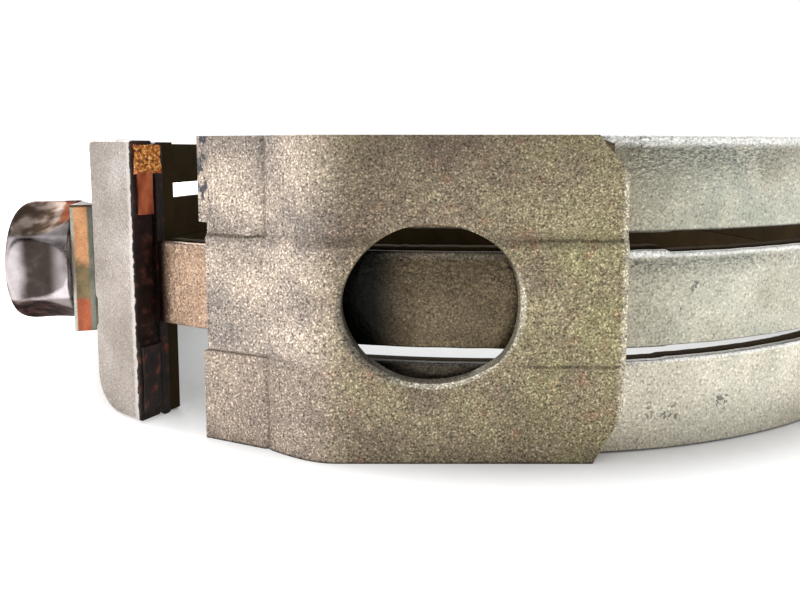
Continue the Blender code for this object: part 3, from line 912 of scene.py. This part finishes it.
def add_junction_brazing(upper, lower):
    """A grainy golden lump over a smooth copper patch at the top, and a smooth lump at the bottom."""
    depth_high = JUNCTION_FACE - 0.1 * MM
    depth_low = JUNCTION_FACE - STOCK
    reach = PLATE_START - 0.75 * MM
    inside = PLATE_START + 0.4 * MM
    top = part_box("junction_braze_upper")[1].z
    piece = lump(
        "junction_braze_upper_piece", (reach, RADIUS + FLARE - 0.55 * MM, GOLDEN_ABOVE + 0.1 * MM),
        (inside, depth_high, top), 0.16 * MM, 0.8 * MM, 20,
    )
    smooth_patch = lump(
        "smooth_patch", (reach + 0.25 * MM, depth_low + 0.35 * MM, 29.3 * MM),
        (inside, depth_high - 0.45 * MM, 35.6 * MM), 0.08 * MM, 3.0 * MM,
    )
    combine(piece, smooth_patch, "UNION")
    dress(piece, "junction_braze_upper", upper, 60.0)
    low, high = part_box("junction_braze_lower")
    piece = lump(
        "junction_braze_lower_piece", (reach + 0.3 * MM, depth_low, low.z),
        (inside, depth_high - 0.2 * MM, high.z), 0.1 * MM, 1.6 * MM,
    )
    dress(piece, "junction_braze_lower", lower, 60.0)


def add_junction_strip(steel, lining):
    """The strip where the straps meet, and its lining, a little lower at their left end."""
    def top(angle):
        return BAND_WIDTH - 0.7 * MM - 0.8 * MM * smooth(-angle, 35.5, 37.5)

    def strip_section(angle):
        outer = RADIUS + FLARE
        return rounded_section(outer - STEEL, outer, 0.02 * MM, top(angle), 0.35 * MM)

    def lining_section(angle):
        outer = RADIUS + FLARE
        return rounded_section(outer - LINING_DEPTH, outer - STEEL, 0.25 * MM, top(angle), 0.12 * MM, 2)

    dress(sweep("junction_strip_piece", JUNCTION, strip_section), "junction_strip", steel)
    dress(sweep("junction_lining_piece", JUNCTION_LINING, lining_section), "junction_lining", lining)


# ---------------- lug and button

DIRECTION = Vector((-0.970, -0.244, 0.0)).normalized()     # the way the button points
LUG_BACK = Vector((DIRECTION.y, -DIRECTION.x, 0.0))         # from the lug's front edge towards its back
LUG_FRONT = Vector((-68.0 * MM, CENTRE_Y - 65.4 * MM, 0.0))
LUG_LENGTH = 20.0 * MM
LUG_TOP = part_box("apply_lug")[1].z
FOOT_HEIGHTS = (13.5 * MM, 25.5 * MM)
BUTTON_RADIUS = 9.8 * MM
BUTTON_LENGTH = 8.2 * MM
BUTTON_SETBACK = 8.0 * MM           # from the lug's front edge
BUTTON_STANDOFF = 1.1 * MM          # thickness of the brazing under it
BUTTON_HEIGHT = 20.1 * MM
BUTTON_BASE = LUG_FRONT + LUG_BACK * BUTTON_SETBACK + Vector((0.0, 0.0, BUTTON_HEIGHT))
BUTTON_POINTS = 144                 # round each of its rings
BEAD = ((5.0, 0.0), (7.9, 0.0), (8.6, 0.25), (8.7, 0.6), (8.3, 0.9), (5.0, 1.0))    # radius and height, mm
LUG_FILLET = (310.2, 311.9)


def ring_cutter(name, radius, low, high):
    """A disc round the ring's axis, between two heights."""
    rings = [[ring_point(math.degrees(turn), radius, z) for turn in full_turn(240)] for z in (low, high)]
    return loft(name, rings)


def add_lug(material):
    """A block whose foot sits on the middle strap, cut to clear the other two."""
    low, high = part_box("apply_lug")
    bm = bmesh.new()
    bmesh.ops.create_cube(bm, size=1.0)
    centre = LUG_FRONT - DIRECTION * STOCK / 2.0 + LUG_BACK * LUG_LENGTH / 2.0
    centre.z = (low.z + high.z) / 2.0
    for vert in bm.verts:
        across, along, upward = vert.co
        vert.co = centre + DIRECTION * (across * STOCK) + LUG_BACK * (along * LUG_LENGTH)
        vert.co.z += upward * (high.z - low.z)
    bmesh.ops.recalc_face_normals(bm, faces=bm.faces)
    lug = add_object("apply_lug_piece", bm)
    over = RADIUS + FLARE + 0.5 * MM
    beyond = 1.0 * MM
    subtract(lug, ring_cutter("seat", RADIUS + 0.05 * MM, -beyond, BAND_WIDTH + beyond))
    subtract(lug, ring_cutter("over_lower", over, -beyond, FOOT_HEIGHTS[0]))
    subtract(lug, ring_cutter("over_upper", over, FOOT_HEIGHTS[1], BAND_WIDTH + beyond))
    round_edges(lug, 0.5 * MM, 4, 50.0)
    dress(lug, "apply_lug", material)


def softest(first, second, blend):
    """A minimum with a rounded corner."""
    share = min(max(0.5 + (second - first) / (2.0 * blend), 0.0), 1.0)
    return second + (first - second) * share - blend * share * (1.0 - share)


def button_ring(height, radius_at):
    """Points round the button's axis, with a radius for each turn in radians."""
    place = DIRECTION.to_track_quat("Z", "Y").to_matrix().to_4x4()
    place.translation = BUTTON_BASE
    points = []
    for turn in full_turn(BUTTON_POINTS):
        radius = radius_at(turn)
        points.append(place @ Vector((radius * math.cos(turn), radius * math.sin(turn), height)))
    return points


def add_button(material, copper):
    """A turned button with six milled hollows that run out towards its base."""
    full = BUTTON_STANDOFF + BUTTON_LENGTH
    mill, mill_height = 13.0 * MM, BUTTON_STANDOFF + BUTTON_LENGTH * 0.56
    flat_distance = BUTTON_RADIUS * math.cos(math.radians(30.0))
    edge, drop = 2.4 * MM, 1.9 * MM      # the worn outer edge: its length, and how far it falls
    foot = 0.6 * MM                      # height over which its base narrows
    levels = 72

    def body_radius(height):
        radius = BUTTON_RADIUS - 0.05 * MM
        if height > full - edge:
            over = (height - (full - edge)) / edge
            return radius - drop * (1.0 - math.sqrt(max(1.0 - over * over, 0.0)))
        if height < foot:
            return radius - foot * (1.0 - height / foot) ** 2
        return radius

    def ring(height):
        off = height - mill_height
        flat = flat_distance + mill - math.sqrt(max(mill * mill - off * off, 0.0))

        def radius_at(turn):
            from_flat = (math.degrees(turn) + 30.0) % 60.0 - 30.0
            return softest(body_radius(height), flat / math.cos(math.radians(from_flat)), 0.25 * MM)

        return button_ring(height, radius_at)

    heights = [full * (1.0 - math.cos(math.pi * i / levels)) / 2.0 for i in range(levels + 1)]
    dress(loft("apply_button_piece", [ring(height) for height in heights]), "apply_button", material, 60.0)
    bead = [button_ring(height * MM, lambda turn, r=radius: r * MM) for radius, height in BEAD]
    dress(loft("button_braze_piece", bead), "button_braze", copper, 60.0)


def add_lug_brazing(copper):
    """A fillet at the lug's foot that thins out along the strap."""
    low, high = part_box("lug_braze")

    def section(angle):
        lift = 0.1 * MM + 1.1 * MM * (1.0 - smooth(angle, *LUG_FILLET))
        return rounded_section(RADIUS - 0.05 * MM, RADIUS + lift, low.z, high.z, 0.06 * MM, 2)

    dress(sweep("lug_braze_piece", LUG_FILLET, section, 0.1), "lug_braze", copper, 60.0)


# ---------------- stage

CAMERA_PLACE = Vector((-16.8 * MM, CENTRE_Y - 160.2 * MM, 38.2 * MM))
CAMERA_PITCH = 5.02
CAMERA_LENS = 27.66
CAMERA_SHIFT = -0.12
FLOOR_GLOW = 0.85
TENT_STRENGTHS = (0.08, 1.05)       # in front of the object, and round the rest of it
TENT_BORDER = (-0.98, -0.45)        # where one turns into the other, along y
WINDOW_PLACE = Vector((-0.75, 0.55, 0.75))
WINDOW_TARGET = Vector((0.0, 0.0, 0.02))
WINDOW_SIZE = (0.9, 0.7)
WINDOW_POWER = 14.0


def add_camera():
    data = bpy.data.cameras.new("camera")
    data.lens = CAMERA_LENS
    data.sensor_width = 36.0
    data.shift_y = CAMERA_SHIFT
    data.clip_start = 0.005
    camera = bpy.data.objects.new("camera", data)
    camera.location = CAMERA_PLACE
    camera.rotation_euler = (math.radians(90.0 - CAMERA_PITCH), 0.0, 0.0)
    bpy.context.scene.collection.objects.link(camera)
    bpy.context.scene.camera = camera


def add_floor():
    """Pale paper that glows outside the ring, with a painted shadow inside it: the glow stops and the paper
    is darker there.
    """
    bm = bmesh.new()
    bmesh.ops.create_grid(bm, x_segments=1, y_segments=1, size=12.0)
    floor = add_object("floor", bm)
    skin = Skin("paper_floor", 0.9, 0.0)
    fine = skin.noise(3.0 * MM, detail=2.0)
    skin.shader.inputs["Emission Color"].default_value = WHITE
    from_axis = skin.vector("DISTANCE", skin.place, (0.0, CENTRE_Y, 0.0))
    # The glow keeps the paper white outside the ring and stops inside it, as a painted shadow
    glow = skin.spread(from_axis, 84.0 * MM, 100.0 * MM, 0.0, FLOOR_GLOW)
    skin.tree.links.new(glow, skin.shader.inputs["Emission Strength"])
    pale = skin.ramp(fine, (0.3, 220.6, 220.6, 220.6), (0.7, 225.9, 225.9, 225.9))
    # Painted shadow: the paper darker inside the ring
    inside = skin.spread(from_axis, 86.0 * MM, 80.0 * MM, 0.0, 0.30)
    floor.data.materials.append(skin.finish(skin.mix(inside, pale, (0.36, 0.38, 0.37, 1.0))))


def add_window():
    """A large soft light from behind, on the left."""
    data = bpy.data.lights.new("window", "AREA")
    data.shape = "RECTANGLE"
    data.size, data.size_y = WINDOW_SIZE
    data.energy = WINDOW_POWER
    light = bpy.data.objects.new("window", data)
    light.location = WINDOW_PLACE
    light.rotation_euler = (WINDOW_TARGET - WINDOW_PLACE).to_track_quat("-Z", "Y").to_euler()
    bpy.context.scene.collection.objects.link(light)


def add_world():
    """A white tent that lights the object less from the front, and is white wherever it is seen."""
    world = bpy.data.worlds.new("tent")
    bpy.context.scene.world = world
    world.use_nodes = True
    tree = world.node_tree
    direction = tree.nodes.new("ShaderNodeTexCoord").outputs["Generated"]
    split = tree.nodes.new("ShaderNodeSeparateXYZ")
    tree.links.new(direction, split.inputs["Vector"])
    light = tree.nodes.new("ShaderNodeMapRange")
    light.interpolation_type = "SMOOTHSTEP"
    for key, value in zip(("From Min", "From Max", "To Min", "To Max"), TENT_BORDER + TENT_STRENGTHS):
        light.inputs[key].default_value = value
    tree.links.new(split.outputs["Y"], light.inputs["Value"])
    seen = tree.nodes.new("ShaderNodeLightPath").outputs["Is Camera Ray"]
    brighter = tree.nodes.new("ShaderNodeMath")
    brighter.operation = "MAXIMUM"
    tree.links.new(light.outputs["Result"], brighter.inputs[0])
    tree.links.new(seen, brighter.inputs[1])
    tree.links.new(brighter.outputs[0], tree.nodes["Background"].inputs["Strength"])
    tree.nodes["Background"].inputs["Color"].default_value = WHITE


# ---------------- the whole

# Painted shade for the straps behind the bracket, darker on the lower strap under the hole
SHADE_BEHIND_HOLE = colour(86, 73, 53)
SHADE_UNDER_HOLE = colour(56, 47, 35)

# Where the small dents are clustered: x, z and radius
MIDDLE_DENTS = ((12.3 * MM, 23.9 * MM, 0.9 * MM), (20.5 * MM, 21.0 * MM, 1.2 * MM))
LOWER_DENTS = (
    (14.6 * MM, 5.0 * MM, 1.2 * MM), (17.6 * MM, 4.6 * MM, 2.0 * MM), (25.4 * MM, 5.6 * MM, 1.9 * MM),
)

# What strap_material is given for each strap; pale is painted light, shaded is painted shade
STRAP_LOOKS = {
    "upper": {
        "drop": 0.1 * MM, "pale": 0.0, "edge_width": 1.7 * MM, "band_width": 7.0 * MM,
        "shaded": SHADE_BEHIND_HOLE, "rippled": True,
    },
    "middle": {
        "drop": 0.1 * MM, "pale": 0.1, "edge_width": 0.8 * MM, "band_width": 3.6 * MM,
        "shaded": SHADE_BEHIND_HOLE, "dents": MIDDLE_DENTS,
    },
    "lower": {
        "drop": 0.0, "pale": 0.5, "edge_width": 0.6 * MM, "band_width": 1.5 * MM,
        "shaded": SHADE_UNDER_HOLE, "dents": LOWER_DENTS,
    },
}
STRAP_SPANS = {
    "upper": (ANCHOR_END, OUTER_END), "middle": (MIDDLE_START, MIDDLE_END), "lower": (ANCHOR_END, OUTER_END),
}
LINED_SPANS = {**STRAP_SPANS, "upper": (ANCHOR_END, OUTER_END - 0.2), "lower": (ANCHOR_END, OUTER_END - 0.2)}


def main():
    add_camera()
    add_world()
    add_floor()
    add_window()
    bpy.context.scene.view_settings.view_transform = "Standard"

    for name, span in STRAP_SPANS.items():
        add_strap(name, span, strap_material(name, **STRAP_LOOKS[name]))
    lining = lining_material()
    for name, span in LINED_SPANS.items():
        add_linings(name, span, lining)

    add_bracket(bracket_material())
    copper = copper_material("smooth_copper")
    scorched = scorched_material()
    add_anchor_brazing(copper, wetted_material())
    # The junction strip takes the scorched braze, whose near black is partly painted shade
    add_junction_strip(scorched, lining)
    add_junction_plate(plate_material())
    add_junction_brazing(copper_material("golden_braze", GOLDEN_ABOVE), scorched)
    add_lug(lug_material())
    add_button(button_material(), copper)
    add_lug_brazing(copper)


main()
bpy.context.view_layer.update()
